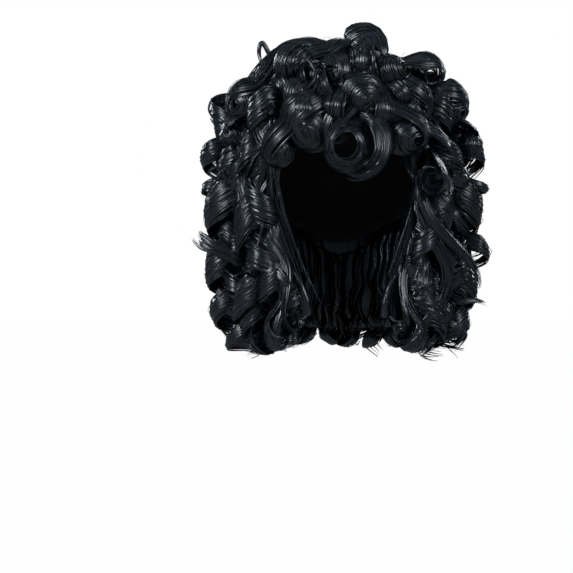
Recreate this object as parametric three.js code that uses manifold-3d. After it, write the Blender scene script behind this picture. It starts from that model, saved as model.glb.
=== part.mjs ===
// Long curly wig: a thin net cap that sits on a head, and nine sections of curled hair sewn on it.
// Each section is a sewn backing with its locks fused to it. A lock is a flat ribbon of hair that
// leaves the cap on a short stem and winds round a coil.
// Millimetres, +Z up, face opening towards -Y. The origin is the middle of the head at eye level.

import * as THREE from "three";
import { mergeVertices } from "three/addons/utils/BufferGeometryUtils.js";
import Module from "manifold-3d";

const wasm = await Module();
wasm.setup();

// Head that the cap fits: an ellipsoid about the origin, 540 mm round at the brow.
const HEAD = { halfWidth: 76, halfDepth: 97, height: 107 };
const CAP_WALL = 1.5;
const SEAT_GAP = 0.5; // between the cap and a backing
const CRUMB = 20; // cubic millimetres
const CAP_ROOM = 0.3; // hair is cut back to this distance from the cap
const CAP_ROOM_INSIDE = 4; // and from the head under it
const CAP_ROOM_ROWS_BELOW = 0.15; // and below the rim
// Depth of the close hair that is sewn on the cap, under the locks.
const DEPTH = { crown: 25, fringe: 12, rim: 18, bottom: 13 };
const FACE_THINNING = 0.4; // share of that depth beside the face
const SECTION_GAP_DEG = 0.3; // half the gap between the backings of two sections

// Grid of the cap: azimuth 0 is the face, 90 the right side of the picture, 180 the nape.
const CAP_COLUMNS = 24;
const CAP_ROWS = 8;
const CROWN_ROWS = 5; // rows that the crown backing covers, counted from the top
const CROWN_EDGE_ROW = 4.88;
const CROWN_SHARE = 0.62; // of the way to the rim, but no further down than the limit
const CROWN_LIMIT_DEG = 55;
const OVERHANG_ROW = 8.2; // a hanging backing leaves the head just below the rim
const HANGING_ROWS = 3;
const HANGING_BOTTOM = -148;

// Cap rim: degrees down from the crown. It drops to a tab before each ear and to the nape.
const RIM = [
  { azimuth: 0, polar: 57 },
  { azimuth: 45, polar: 62 },
  { azimuth: 72, polar: 92 },
  { azimuth: 95, polar: 84 },
  { azimuth: 125, polar: 104 },
  { azimuth: 180, polar: 117 },
];

// Inner face of the hair below the brow, as shares of the cap's own half width and half depth.
const HANG = [
  { height: -160, side: 0.85, front: 0.71, back: 0.9 },
  { height: -100, side: 0.8, front: 0.67, back: 0.86 },
  { height: -50, side: 0.9, front: 0.86, back: 0.895 },
  { height: 0, side: 1, front: 1, back: 1 },
];

// Front edge of the hair beside the face.
const FACE_EDGE = [
  { height: -160, azimuth: 42 },
  { height: -110, azimuth: 27 },
  { height: -60, azimuth: 48 },
  { height: 0, azimuth: 57 },
  { height: 20, azimuth: 54 },
  { height: 50, azimuth: 40 },
];

// Hair in one lock: a flat ribbon, narrower at its tip.
const RIBBON = { width: 17, thickness: 4.5, tipShare: 0.45, tipSteps: 5 };
const STEM_STEPS = 2;
const STEM_EASE = 0.45; // how far a stem keeps its first and last directions, as a share of its span
const STEPS_PER_TURN = 6;
const RINGLET_PITCH = 32;
const PIN_CURL_PITCH = 9;
const STEM_RISE = 34; // a ringlet's root lies this far above the top of its coil
const ROOT_ROW = 5.5; // highest row of the cap that a ringlet is sewn on
const WHORL = new THREE.Vector3(0, 18, 112); // where the hair parts from on the crown

// Hanging ringlets. Reach is from the head's axis to the coil's axis, lean its drift at the bottom.
const RINGLET_COLUMNS = ["azimuth", "reach", "top", "bottom", "radius", "lean"];
const RINGLETS = {
  left_temple_curls: [
    [-62, 99, 40, 0, 13, 4],
    [-63, 100, -22, -80, 14, 0],
    [-64, 99, -98, -166, 13, -8],
    [-46, 84, -66, -158, 12, -4],
    [-32, 74, -106, -158, 10, 0],
  ],
  left_side_curls: [
    [-87, 121, 20, -12, 13, 4],
    [-87, 117, -30, -160, 16, -22],
    [-109, 114, 54, 14, 13, 4],
    [-109, 124, -6, -156, 16, -12],
    [-86, 82, -70, -152, 12, 0],
  ],
  right_temple_curls: [
    [62, 101, 40, 0, 14, 4],
    [63, 100, -20, -78, 14, 0],
    [65, 97, -96, -164, 13, -8],
    [46, 84, -64, -160, 12, -4],
    [36, 77, -108, -160, 10, 0],
  ],
  right_side_curls: [
    [88, 121, 42, 2, 12, 4],
    [87, 118, -14, -112, 16, -8],
    [84, 88, -124, -158, 12, 0],
    [109, 114, 54, 14, 13, 4],
    [109, 122, -6, -156, 16, -24],
  ],
};

// At the back the ringlets hang in two even tiers.
const BACK_TIER_COLUMNS = ["reach", "top", "bottom", "radius", "lean", "shift"];
const BACK_TIERS = [
  [122, 60, 6, 15, 6, 3],
  [130, -14, -160, 16, -8, -2],
];

// Pin curls: the middle of the ring, the way its axis points, and how it winds.
const PIN_COLUMNS = ["x", "y", "z", "axisAzimuth", "axisElevation", "radius", "turns", "hand"];
// Row of the cap that the roots lie on, and their azimuth as a share of the ring's.
const PIN_ROOTS = {
  fringe_curls: { row: 6, turn: 0.85, lift: 6 },
  crown_curls: { row: 3, turn: 1, lift: 19 },
};
const PIN_CURLS = {
  fringe_curls: [
    [-34, -90, 60, -20, 10, 15, 1.6, 1],
    [21, -90, 80, 12, 20, 16, 1.5, -1],
    [16, -107, 36, 5, -5, 15, 1.3, -1],
    [60, -76, 50, 40, 5, 14, 1.6, -1],
    [-58, -84, 35, -38, 0, 10, 1.3, 1],
    [-10, -104, 46, -5, 0, 9, 0.9, 1],
  ],
  crown_curls: [
    [24, -22, 132, 0, 5, 18, 1.2, -1],
    [77, -4, 112, 20, 0, 18, 1.3, -1],
    [102, -6, 73, 60, 0, 17, 1.5, -1],
    [-94, -32, 72, -55, 0, 14, 1.4, 1],
    [79, -50, 78, 50, 10, 11, 1.3, -1],
    [50, -55, 108, 25, 20, 15, 1.2, -1],
    [-37, -60, 106, -15, 25, 15, 1.2, 1],
    [-50, -12, 126, -12, 30, 16, 1.1, 1],
    [-72, -18, 110, -50, 25, 15, 1.3, 1],
    [-5, 50, 134, 188, 42, 17, 1.3, 1],
    [-62, 66, 110, 215, 20, 18, 1.4, -1],
    [58, 68, 110, 145, 20, 18, 1.4, 1],
    [6, 98, 108, 176, 20, 17, 1.4, 1],
  ],
};

// Sections below the crown, from the right side of the face round the back to the left side.
const SECTIONS = [
  { name: "right_temple_curls", from: 45, to: 75, faceEdge: "from" },
  { name: "right_side_curls", from: 75, to: 120 },
  { name: "right_back_curls", from: 120, to: 165, ringletAzimuths: [131, 154] },
  { name: "nape_curls", from: 165, to: 195, ringletAzimuths: [179] },
  { name: "left_back_curls", from: 195, to: 240, ringletAzimuths: [204, 228] },
  { name: "left_side_curls", from: 240, to: 285 },
  { name: "left_temple_curls", from: 285, to: 315, faceEdge: "to" },
];
const FRINGE = { name: "fringe_curls", from: -45, to: 45 };

const HAIR = new THREE.MeshStandardMaterial({ color: 0x0b0c10, roughness: 0.35, metalness: 0 });
const NET = new THREE.MeshStandardMaterial({ color: 0x141416, roughness: 0.9, metalness: 0 });

const radians = THREE.MathUtils.degToRad;
const DOWN = new THREE.Vector3(0, 0, -1);

// Rows of a table as objects named by its columns.
function rows(columns, table) {
  return table.map((row) => Object.fromEntries(columns.map((name, i) => [name, row[i]])));
}

// Smooth reading of a table that is sorted by one of its columns.
function along(table, key, value, column) {
  const last = table.length - 1;
  const at = THREE.MathUtils.clamp(value, table[0][key], table[last][key]);
  const i = Math.min(last - 1, Math.max(0, table.findLastIndex((row) => row[key] <= at)));
  const share = (at - table[i][key]) / (table[i + 1][key] - table[i][key]);
  const eased = THREE.MathUtils.smoothstep(share, 0, 1);
  return THREE.MathUtils.lerp(table[i][column], table[i + 1][column], eased);
}

function rimPolar(azimuth) {
  const turned = THREE.MathUtils.euclideanModulo(azimuth, 360);
  return along(RIM, "azimuth", Math.min(turned, 360 - turned), "polar");
}

// Point on the head, raised from it by lift.
function headPoint(azimuth, polar, lift) {
  const a = radians(azimuth);
  const p = radians(polar);
  return new THREE.Vector3(
    (HEAD.halfWidth + lift) * Math.sin(p) * Math.sin(a),
    -(HEAD.halfDepth + lift) * Math.sin(p) * Math.cos(a),
    (HEAD.height + lift) * Math.cos(p),
  );
}

const rimHeight = (azimuth) => HEAD.height * Math.cos(radians(rimPolar(azimuth)));

// Point on the inner face of the hair at a height, raised from it by lift.
function hairPoint(azimuth, height, lift) {
  const a = radians(azimuth);
  const front = Math.max(0, Math.cos(a)) ** 2;
  const back = Math.max(0, -Math.cos(a)) ** 2;
  const side = Math.sin(a) ** 2;
  const base = CAP_WALL + SEAT_GAP;
  const share =
    height >= rimHeight(azimuth)
      ? Math.sqrt(1 - (height / (HEAD.height + base)) ** 2)
      : side * along(HANG, "height", height, "side") +
        front * along(HANG, "height", height, "front") +
        back * along(HANG, "height", height, "back");
  return new THREE.Vector3(
    ((HEAD.halfWidth + base) * share + lift) * Math.sin(a),
    -((HEAD.halfDepth + base) * share + lift) * Math.cos(a),
    height,
  );
}

// Closed solid from points and triangles, with shared points merged and empty triangles dropped.
function solidOf(points, triangles) {
  const geometry = new THREE.BufferGeometry().setFromPoints(points);
  geometry.setIndex(triangles);
  const merged = mergeVertices(geometry, 1e-3);
  const corners = merged.index.array;
  const kept = [];
  for (let i = 0; i < corners.length; i += 3) {
    const [a, b, c] = corners.slice(i, i + 3);
    if (a !== b && b !== c && c !== a) kept.push(a, b, c);
  }
  return new wasm.Manifold(
    new wasm.Mesh({
      numProp: 3,
      vertProperties: merged.attributes.position.array,
      triVerts: new Uint32Array(kept),
    }),
  );
}

// Wall between an inner and an outer grid of points. Its edges are closed unless it wraps round.
function wallOf(inner, outer, wraps) {
  const rowCount = inner.length;
  const columnCount = inner[0].length;
  const points = [...outer.flat(), ...inner.flat()];
  const triangles = [];
  const out = (r, c) => r * columnCount + (c % columnCount);
  const into = (r, c) => rowCount * columnCount + out(r, c);
  const quad = (a, b, c, d) => triangles.push(a, b, c, a, c, d);
  const columns = wraps ? columnCount : columnCount - 1;
  for (let r = 0; r < rowCount - 1; r++) {
    for (let c = 0; c < columns; c++) {
      quad(out(r, c), out(r + 1, c), out(r + 1, c + 1), out(r, c + 1));
      quad(into(r, c), into(r, c + 1), into(r + 1, c + 1), into(r + 1, c));
    }
    if (!wraps) {
      quad(out(r, 0), into(r, 0), into(r + 1, 0), out(r + 1, 0));
      quad(out(r, columns), out(r + 1, columns), into(r + 1, columns), into(r, columns));
    }
  }
  const bottom = rowCount - 1;
  for (let c = 0; c < columns; c++) {
    quad(out(bottom, c), into(bottom, c), into(bottom, c + 1), out(bottom, c + 1));
    if (!wraps) quad(out(0, c), out(0, c + 1), into(0, c + 1), into(0, c));
  }
  return solidOf(points, triangles);
}

function grid(rowValues, columnValues, pointAt) {
  return rowValues.map((r) => columnValues.map((c) => pointAt(r, c)));
}

const count = (n) => Array.from({ length: n }, (_, i) => i);
const capAzimuths = count(CAP_COLUMNS).map((i) => (360 / CAP_COLUMNS) * i);

// Point of the cap's own grid: the top at row 0, the crown's edge at CROWN_ROWS, the rim at CAP_ROWS.
function capPoint(row, azimuth, lift) {
  const rim = rimPolar(azimuth);
  const crown = Math.min(CROWN_SHARE * rim, CROWN_LIMIT_DEG);
  const below = (row - CROWN_ROWS) / (CAP_ROWS - CROWN_ROWS);
  const polar = below < 0 ? (crown * row) / CROWN_ROWS : crown + (rim - crown) * below;
  return headPoint(azimuth, polar, lift);
}

function capSolid() {
  const capRows = count(CAP_ROWS + 1);
  const face = (lift) => grid(capRows, capAzimuths, (r, a) => capPoint(r, a, lift));
  return wallOf(face(0), face(CAP_WALL), true);
}

// Room for the cap and the head in it, which no hair enters.
function capRoom() {
  const roomRows = [...count(CAP_ROWS + 1), CAP_ROWS + CAP_ROOM_ROWS_BELOW];
  const face = (lift) => grid(roomRows, capAzimuths, (r, a) => capPoint(r, a, lift));
  return wallOf(face(-CAP_ROOM_INSIDE), face(CAP_WALL + CAP_ROOM), true);
}

// Backing of the crown: a dome on the upper rows of the cap.
function crownBacking() {
  const crownRows = [...count(CROWN_ROWS), CROWN_EDGE_ROW];
  const base = CAP_WALL + SEAT_GAP;
  const face = (lift) => grid(crownRows, capAzimuths, (r, a) => capPoint(r, a, lift));
  return wallOf(face(base), face(base + DEPTH.crown), true);
}

// Azimuths of the cap's grid from one edge of a section to the other.
function sectionAzimuths({ from, to }) {
  const edges = [from + SECTION_GAP_DEG, to - SECTION_GAP_DEG];
  const step = 360 / CAP_COLUMNS;
  const first = Math.ceil(from / step);
  const between = count(CAP_COLUMNS)
    .map((i) => (first + i) * step)
    .filter((a) => a > from + 2 && a < to - 2);
  return [edges[0], ...between, edges[1]];
}

// Backing of the fringe: a band on the lower rows of the cap, down to its front rim.
function fringeBacking() {
  const bandRows = count(CAP_ROWS - CROWN_ROWS + 1).map((i) => CROWN_ROWS + i);
  const base = CAP_WALL + SEAT_GAP;
  const azimuths = sectionAzimuths(FRINGE);
  const face = (lift) => grid(bandRows, azimuths, (r, a) => capPoint(r, a, lift));
  return wallOf(face(base), face(base + DEPTH.fringe), false);
}

// Backing of a hanging section: it lies on the cap down to the rim, then hangs free below it.
function hangingBacking(section) {
  const azimuths = sectionAzimuths(section);
  const bandRows = [...count(CAP_ROWS - CROWN_ROWS).map((i) => CROWN_ROWS + i), OVERHANG_ROW];
  const hangRows = count(HANGING_ROWS).map((i) => OVERHANG_ROW + (i + 1) / HANGING_ROWS);
  const base = CAP_WALL + SEAT_GAP;
  const pointAt = (row, azimuth, raised) => {
    const below = Math.max(0, row - OVERHANG_ROW);
    const depth = THREE.MathUtils.lerp(DEPTH.rim, DEPTH.bottom, below);
    const lift = raised * depth * edgeThinning(section, azimuth);
    const top = capPoint(Math.min(row, OVERHANG_ROW), azimuth, base + lift);
    if (below === 0) return top;
    const rim = capPoint(OVERHANG_ROW, azimuth, base).z;
    const height = THREE.MathUtils.lerp(rim, HANGING_BOTTOM, below);
    return hairPoint(edgedAzimuth(section, azimuth, height), height, lift);
  };
  const face = (raised) => grid([...bandRows, ...hangRows], azimuths, (r, a) => pointAt(r, a, raised));
  return wallOf(face(0), face(1), false);
}

// Share of its full depth that a hanging backing has at a column, thinner beside the face.
function edgeThinning({ from, to, faceEdge }, azimuth) {
  const share = (azimuth - from) / (to - from);
  const fromFace = faceEdge === "to" ? 1 - share : share;
  return faceEdge ? THREE.MathUtils.lerp(FACE_THINNING, 1, fromFace) : 1;
}

// Azimuth of a column of a hanging backing, drawn towards the edge of the hair beside the face.
function edgedAzimuth({ from, to, faceEdge }, azimuth, height) {
  if (!faceEdge) return azimuth;
  const edge = along(FACE_EDGE, "height", height, "azimuth");
  const share = (azimuth - from) / (to - from);
  return faceEdge === "from"
    ? THREE.MathUtils.lerp(edge, to, share)
    : THREE.MathUtils.lerp(from, 360 - edge, share);
}

// Winding of a lock: it starts along entry and turns about axis while it moves along it.
class Coil extends THREE.Curve {
  constructor({ centre, axis, entry, radius, turns, hand, pitch }) {
    super();
    Object.assign(this, { centre, axis, entry, radius, turns, hand, pitch });
    this.side = new THREE.Vector3().crossVectors(axis, entry);
  }

  outward(t) {
    const angle = 2 * Math.PI * this.turns * t;
    return this.entry
      .clone()
      .multiplyScalar(Math.sin(angle))
      .addScaledVector(this.side, -this.hand * Math.cos(angle));
  }

  getPoint(t, target = new THREE.Vector3()) {
    return target
      .copy(this.centre)
      .addScaledVector(this.axis, this.pitch * this.turns * t)
      .addScaledVector(this.outward(t), this.radius);
  }
}

// Stem of a lock: a smooth curve from its root to the start of its coil.
function stemOf(root, rootWay, coil) {
  const start = coil.getPoint(0);
  const way = coil.getTangent(0);
  const reach = root.distanceTo(start) * STEM_EASE;
  return new THREE.CubicBezierCurve3(
    root,
    root.clone().addScaledVector(rootWay, reach),
    start.clone().addScaledVector(way, -reach),
    start,
  );
}

// Ribbon along a lock's stem and coil. It lies flat round the coil and runs up the stem untwisted.
function ribbonOf({ root, rootWay, coil }) {
  const stem = stemOf(root, rootWay, coil);
  const coilSteps = Math.ceil(coil.turns * STEPS_PER_TURN);
  const samples = count(coilSteps + 1).map((i) => {
    const t = i / coilSteps;
    return { curve: coil, t, normal: coil.outward(t) };
  });
  for (let i = STEM_STEPS - 1; i >= 0; i--) {
    const t = i / STEM_STEPS;
    const tangent = stem.getTangent(t);
    const normal = samples[0].normal.clone();
    normal.addScaledVector(tangent, -normal.dot(tangent)).normalize();
    samples.unshift({ curve: stem, t, normal });
  }
  const last = samples.length - 1;
  const points = samples.flatMap(({ curve, t, normal }, i) => {
    const tangent = curve.getTangent(t);
    const middle = curve.getPoint(t);
    const across = new THREE.Vector3().crossVectors(tangent, normal).normalize();
    const flat = new THREE.Vector3().crossVectors(across, tangent);
    const towardsTip = THREE.MathUtils.smoothstep(i, last - RIBBON.tipSteps, last);
    const share = THREE.MathUtils.lerp(1, RIBBON.tipShare, towardsTip);
    const halfWidth = (RIBBON.width / 2) * share;
    const halfThickness = (RIBBON.thickness / 2) * share;
    const corner = (w, n) =>
      middle.clone().addScaledVector(across, w * halfWidth).addScaledVector(flat, n * halfThickness);
    return [corner(-1, -1), corner(-1, 1), corner(1, 1), corner(1, -1)];
  });
  const triangles = [0, 3, 2, 0, 2, 1];
  for (let i = 0; i < last; i++) {
    for (let k = 0; k < 4; k++) {
      const a = i * 4 + k;
      const b = i * 4 + ((k + 1) % 4);
      triangles.push(a, b, b + 4, a, b + 4, a + 4);
    }
  }
  const end = last * 4;
  triangles.push(end, end + 1, end + 2, end, end + 2, end + 3);
  const solid = solidOf(points, triangles);
  if (solid.volume() <= 0) throw new Error("a ribbon is inside out");
  return solid;
}

// Ringlet that hangs from the cap or from a backing below it.
function ringlet({ azimuth, reach, top, bottom, radius, lean }, index) {
  const a = radians(azimuth);
  const outward = new THREE.Vector3(Math.sin(a), -Math.cos(a), 0);
  const rootHeight = Math.min(top + STEM_RISE, capPoint(ROOT_ROW, azimuth, 0).z);
  const turns = (top - bottom) / RINGLET_PITCH;
  const axis = outward.clone().multiplyScalar(lean).addScaledVector(DOWN, top - bottom).normalize();
  const entry = outward.clone().addScaledVector(axis, -outward.dot(axis)).normalize();
  const root = hairPoint(azimuth, rootHeight, DEPTH.bottom - RIBBON.thickness);
  return {
    root,
    rootWay: outward.clone().multiplyScalar(0.6).addScaledVector(DOWN, 0.8).normalize(),
    coil: new Coil({
      centre: outward.clone().multiplyScalar(reach).setZ(top),
      axis,
      entry,
      radius,
      turns,
      hand: index % 2 ? 1 : -1,
      pitch: RINGLET_PITCH,
    }),
  };
}

// Pin curl: a ring of hair whose stem lies on the cap and comes from the whorl of the crown.
function pinCurl({ x, y, z, axisAzimuth, axisElevation, radius, turns, hand }, { row, turn, lift }) {
  const centre = new THREE.Vector3(x, y, z);
  const a = radians(axisAzimuth);
  const e = radians(axisElevation);
  const axis = new THREE.Vector3(Math.sin(a) * Math.cos(e), -Math.cos(a) * Math.cos(e), Math.sin(e));
  const flow = centre.clone().sub(WHORL);
  const entry = flow.clone().addScaledVector(axis, -flow.dot(axis)).normalize();
  const azimuth = THREE.MathUtils.radToDeg(Math.atan2(x, -y));
  const root = capPoint(row, azimuth * turn, CAP_WALL + SEAT_GAP + lift);
  const normal = root.clone().normalize();
  return {
    root,
    rootWay: flow.clone().normalize().addScaledVector(normal, 0.7).normalize(),
    coil: new Coil({ centre, axis, entry, radius, turns, hand, pitch: PIN_CURL_PITCH }),
  };
}

// Ringlets of a section at the back, tier by tier.
function backRinglets({ ringletAzimuths }) {
  return rows(BACK_TIER_COLUMNS, BACK_TIERS).flatMap(({ shift, ...tier }) =>
    ringletAzimuths.map((azimuth) => ({ ...tier, azimuth: azimuth + shift })),
  );
}

function locksOf(section) {
  const pins = PIN_CURLS[section.name];
  const roots = PIN_ROOTS[section.name];
  if (pins) return rows(PIN_COLUMNS, pins).map((pin) => pinCurl(pin, roots));
  const table = RINGLETS[section.name];
  return (table ? rows(RINGLET_COLUMNS, table) : backRinglets(section)).map(ringlet);
}

function backingOf(section) {
  if (section.name === "crown_curls") return crownBacking();
  if (section.name === "fringe_curls") return fringeBacking();
  return hangingBacking(section);
}

function sectionSolid(section) {
  return locksOf(section).reduce((sum, lock) => sum.add(ribbonOf(lock)), backingOf(section));
}

// The one body of a section, without crumbs that the cap's room cuts off.
function largestBody(name, solid) {
  const bodies = solid.decompose().sort((a, b) => b.volume() - a.volume());
  const loose = bodies.slice(1).filter((body) => Math.abs(body.volume()) > CRUMB);
  if (loose.length) throw new Error(`${name} has ${loose.length} loose pieces`);
  return bodies[0];
}

function meshOf(name, solid, material) {
  const { vertProperties, triVerts } = solid.getMesh();
  const geometry = new THREE.BufferGeometry();
  geometry.setAttribute("position", new THREE.BufferAttribute(vertProperties, 3));
  geometry.setIndex(new THREE.BufferAttribute(triVerts, 1));
  geometry.computeVertexNormals();
  const mesh = new THREE.Mesh(geometry, material);
  mesh.name = name;
  return mesh;
}

const wig = new THREE.Group();
wig.name = "long_curly_wig";
wig.add(meshOf("wig_cap", capSolid(), NET));

const room = capRoom();
for (const section of [{ name: "crown_curls" }, FRINGE, ...SECTIONS]) {
  const solid = largestBody(section.name, sectionSolid(section).subtract(room));
  wig.add(meshOf(section.name, solid, HAIR));
}

export default wig;
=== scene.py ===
import bpy
import numpy as np
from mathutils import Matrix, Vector


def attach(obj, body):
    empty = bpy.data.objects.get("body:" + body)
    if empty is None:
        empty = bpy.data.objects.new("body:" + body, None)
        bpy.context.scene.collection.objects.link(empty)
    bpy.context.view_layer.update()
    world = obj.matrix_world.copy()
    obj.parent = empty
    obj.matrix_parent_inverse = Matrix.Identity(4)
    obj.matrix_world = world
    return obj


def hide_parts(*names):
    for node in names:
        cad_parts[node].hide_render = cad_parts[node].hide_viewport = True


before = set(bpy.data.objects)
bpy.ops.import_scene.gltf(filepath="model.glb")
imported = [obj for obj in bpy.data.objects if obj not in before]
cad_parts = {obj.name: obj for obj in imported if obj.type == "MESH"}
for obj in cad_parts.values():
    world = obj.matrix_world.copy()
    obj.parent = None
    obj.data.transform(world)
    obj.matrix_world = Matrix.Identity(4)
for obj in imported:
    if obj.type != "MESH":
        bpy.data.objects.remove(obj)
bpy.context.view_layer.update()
bpy.ops.object.select_all(action="DESELECT")

# Net cap: a stretch net shell that sits on the head, with rows of wefts sewn round it.
# Its rim drops to a tab before each ear and to the nape, and carries all the hair.
# Sizes are in millimetres and angles in degrees, except where a material reads them in metres.
MM = 0.001
HEAD_HALF_WIDTH = 76.0
HEAD_HALF_DEPTH = 97.0
HEAD_HEIGHT = 107.0
CAP_WALL = 1.5
RIM_AZIMUTHS = [0, 45, 72, 95, 125, 180]
RIM_POLARS = [57, 62, 92, 84, 104, 117]
CROWN_SHARE = 0.62
CROWN_LIMIT = 55.0
CROWN_ROWS = 5
CAP_ROWS = 8
CAP_TOP_ROW = 0.02
ROUND_AZIMUTHS = np.arange(0, 360, 4.0)[None, :]
ROUND_PER_RADIAN = 0.085
DOWN_PER_DEGREE = 0.00187
NET_BLACK = (0.009, 0.009, 0.011, 1)
WEFT_BLACK = (0.005, 0.005, 0.006, 1)
WEFT_SPACING = 0.012
NET_SPACING = 0.0026
NET_RELIEF = 0.3


def smooth(share):
    return share * share * (3 - 2 * share)


def triplets(x, y, z):
    return np.stack(np.broadcast_arrays(x, y, z), -1)


def eased(keys, values, at):
    """Smooth reading of a short table of values at rising keys."""
    keys = np.asarray(keys, float)
    values = np.asarray(values, float)
    at = np.clip(np.asarray(at, float), keys[0], keys[-1])
    i = np.clip(np.searchsorted(keys, at, side="right") - 1, 0, len(keys) - 2)
    share = smooth((at - keys[i]) / (keys[i + 1] - keys[i]))
    return values[i] + (values[i + 1] - values[i]) * share


def rim_polar(azimuth):
    turned = np.mod(azimuth, 360.0)
    return eased(RIM_AZIMUTHS, RIM_POLARS, np.minimum(turned, 360.0 - turned))


def head_point(azimuth, polar, lift):
    a = np.radians(azimuth)
    p = np.radians(polar)
    x = (HEAD_HALF_WIDTH + lift) * np.sin(p) * np.sin(a)
    y = -(HEAD_HALF_DEPTH + lift) * np.sin(p) * np.cos(a)
    z = (HEAD_HEIGHT + lift) * np.cos(p)
    return triplets(x, y, z)


def cap_polar(row, azimuth):
    rim = rim_polar(azimuth)
    crown = np.minimum(CROWN_SHARE * rim, CROWN_LIMIT)
    below = (row - CROWN_ROWS) / (CAP_ROWS - CROWN_ROWS)
    return np.where(below < 0, crown * row / CROWN_ROWS, crown + (rim - crown) * below)


def cap_point(row, azimuth, lift):
    """Point above a row of the cap: rows run from the top to the rim and may go on below it."""
    return head_point(azimuth, cap_polar(row, azimuth), lift)


def cap_strand(row, azimuth, tone):
    """What a material reads on the cap: metres round it, metres down it and a tone."""
    return triplets(
        np.radians(azimuth) * ROUND_PER_RADIAN, cap_polar(row, azimuth) * DOWN_PER_DEGREE, tone)


def wall_mesh(inner, outer, strand, wraps):
    """Closed wall between two grids of points, as points, faces, strand and unset normals."""
    rows, columns = inner.shape[:2]
    front = np.arange(rows * columns).reshape(rows, columns)
    if wraps:
        front = np.concatenate([front, front[:, :1]], 1)
    back = front + rows * columns

    def quads(a, b, c, d):
        return np.stack([a.ravel(), b.ravel(), c.ravel(), d.ravel()], 1)

    faces = [
        quads(front[:-1, :-1], front[1:, :-1], front[1:, 1:], front[:-1, 1:]),
        quads(back[:-1, :-1], back[:-1, 1:], back[1:, 1:], back[1:, :-1]),
        quads(front[-1, :-1], back[-1, :-1], back[-1, 1:], front[-1, 1:]),
        quads(front[0, :-1], front[0, 1:], back[0, 1:], back[0, :-1]),
    ]
    if not wraps:
        faces.append(quads(front[:-1, 0], back[:-1, 0], back[1:, 0], front[1:, 0]))
        faces.append(quads(front[:-1, -1], front[1:, -1], back[1:, -1], back[:-1, -1]))
    points = np.concatenate([outer.reshape(-1, 3), inner.reshape(-1, 3)])
    strand = np.concatenate([strand.reshape(-1, 3)] * 2)
    return points, [np.concatenate(faces)], strand, np.zeros_like(points)


def mesh_object(name, points, polygons, strand, normals):
    """Mesh from arrays of points, equal-sided faces, strand and normals, where zero leaves one unset."""
    mesh = bpy.data.meshes.new(name)
    mesh.vertices.add(len(points))
    mesh.vertices.foreach_set("co", np.ascontiguousarray(points * MM, np.float32).ravel())
    corners = np.concatenate([faces.ravel() for faces in polygons]).astype(np.int32)
    sizes = np.concatenate([np.full(len(faces), faces.shape[1]) for faces in polygons])
    starts = np.concatenate([[0], np.cumsum(sizes)[:-1]]).astype(np.int32)
    mesh.loops.add(len(corners))
    mesh.loops.foreach_set("vertex_index", corners)
    mesh.polygons.add(len(sizes))
    mesh.polygons.foreach_set("loop_start", starts)
    mesh.polygons.foreach_set("use_smooth", np.ones(len(sizes), bool))
    mesh.update(calc_edges=True)
    layer = mesh.attributes.new("strand", "FLOAT_VECTOR", "POINT")
    layer.data.foreach_set("vector", np.ascontiguousarray(strand, np.float32).ravel())
    mesh.normals_split_custom_set_from_vertices(normals.tolist())
    made = bpy.data.objects.new(name, mesh)
    bpy.context.collection.objects.link(made)
    return made


class Shade:
    """A value in a material, which can be reckoned with and sent to other nodes."""

    def __init__(self, tree, socket=None):
        self.tree = tree
        self.socket = socket

    def node(self, kind, output, settings, inputs):
        made = self.tree.nodes.new(kind)
        for key, setting in settings.items():
            setattr(made, key, setting)
        for key, value in inputs.items():
            if isinstance(value, Shade):
                self.tree.links.new(value.socket, made.inputs[key])
            else:
                made.inputs[key].default_value = value
        return Shade(self.tree, made.outputs[output])

    def math(self, operation, first, second=0.0):
        return self.node("ShaderNodeMath", 0, {"operation": operation}, {0: first, 1: second})

    def mix(self, factor, first, second):
        return self.node("ShaderNodeMix", 2, {"data_type": "RGBA"}, {0: factor, 6: first, 7: second})

    def feed(self, shader, socket):
        self.tree.links.new(self.socket, shader.inputs[socket])

    def __add__(self, other):
        return self.math("ADD", self, other)

    def __mul__(self, other):
        return self.math("MULTIPLY", self, other)

    __radd__ = __add__
    __rmul__ = __mul__


def new_material(name):
    made = bpy.data.materials.new(name)
    made.use_nodes = True
    return made, made.node_tree.nodes["Principled BSDF"], Shade(made.node_tree)


net_material, net_shader, net = new_material("cap_net")
net_place = net.node("ShaderNodeAttribute", "Vector", {"attribute_name": "strand"}, {})
net_around = net.node("ShaderNodeSeparateXYZ", "X", {}, {"Vector": net_place})
net_down = net.node("ShaderNodeSeparateXYZ", "Y", {}, {"Vector": net_place})
net_holes = net.math("SINE", net_around * (2 * np.pi / NET_SPACING))
net_holes = net_holes * net.math("SINE", net_down * (2 * np.pi / NET_SPACING))
net_wefts = net.math("MAXIMUM", net.math("SINE", net_down * (2 * np.pi / WEFT_SPACING)), 0.0)
net.mix(net_wefts, NET_BLACK, WEFT_BLACK).feed(net_shader, "Base Color")
net.node("ShaderNodeBump", 0, {}, {
    "Strength": 0.7, "Distance": 0.0008, "Height": net_holes * NET_RELIEF + net_wefts,
}).feed(net_shader, "Normal")
net_shader.inputs["Roughness"].default_value = 0.8

cap_rows = np.concatenate([[CAP_TOP_ROW], np.linspace(0.25, CAP_ROWS, 30)])[:, None]
net_cap = mesh_object("net_cap", *wall_mesh(
    cap_point(cap_rows, ROUND_AZIMUTHS, 0.0), cap_point(cap_rows, ROUND_AZIMUTHS, CAP_WALL),
    cap_strand(cap_rows, ROUND_AZIMUTHS, 0.0), True))
net_cap.data.materials.append(net_material)
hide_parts("wig_cap")
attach(net_cap, "root")

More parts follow.
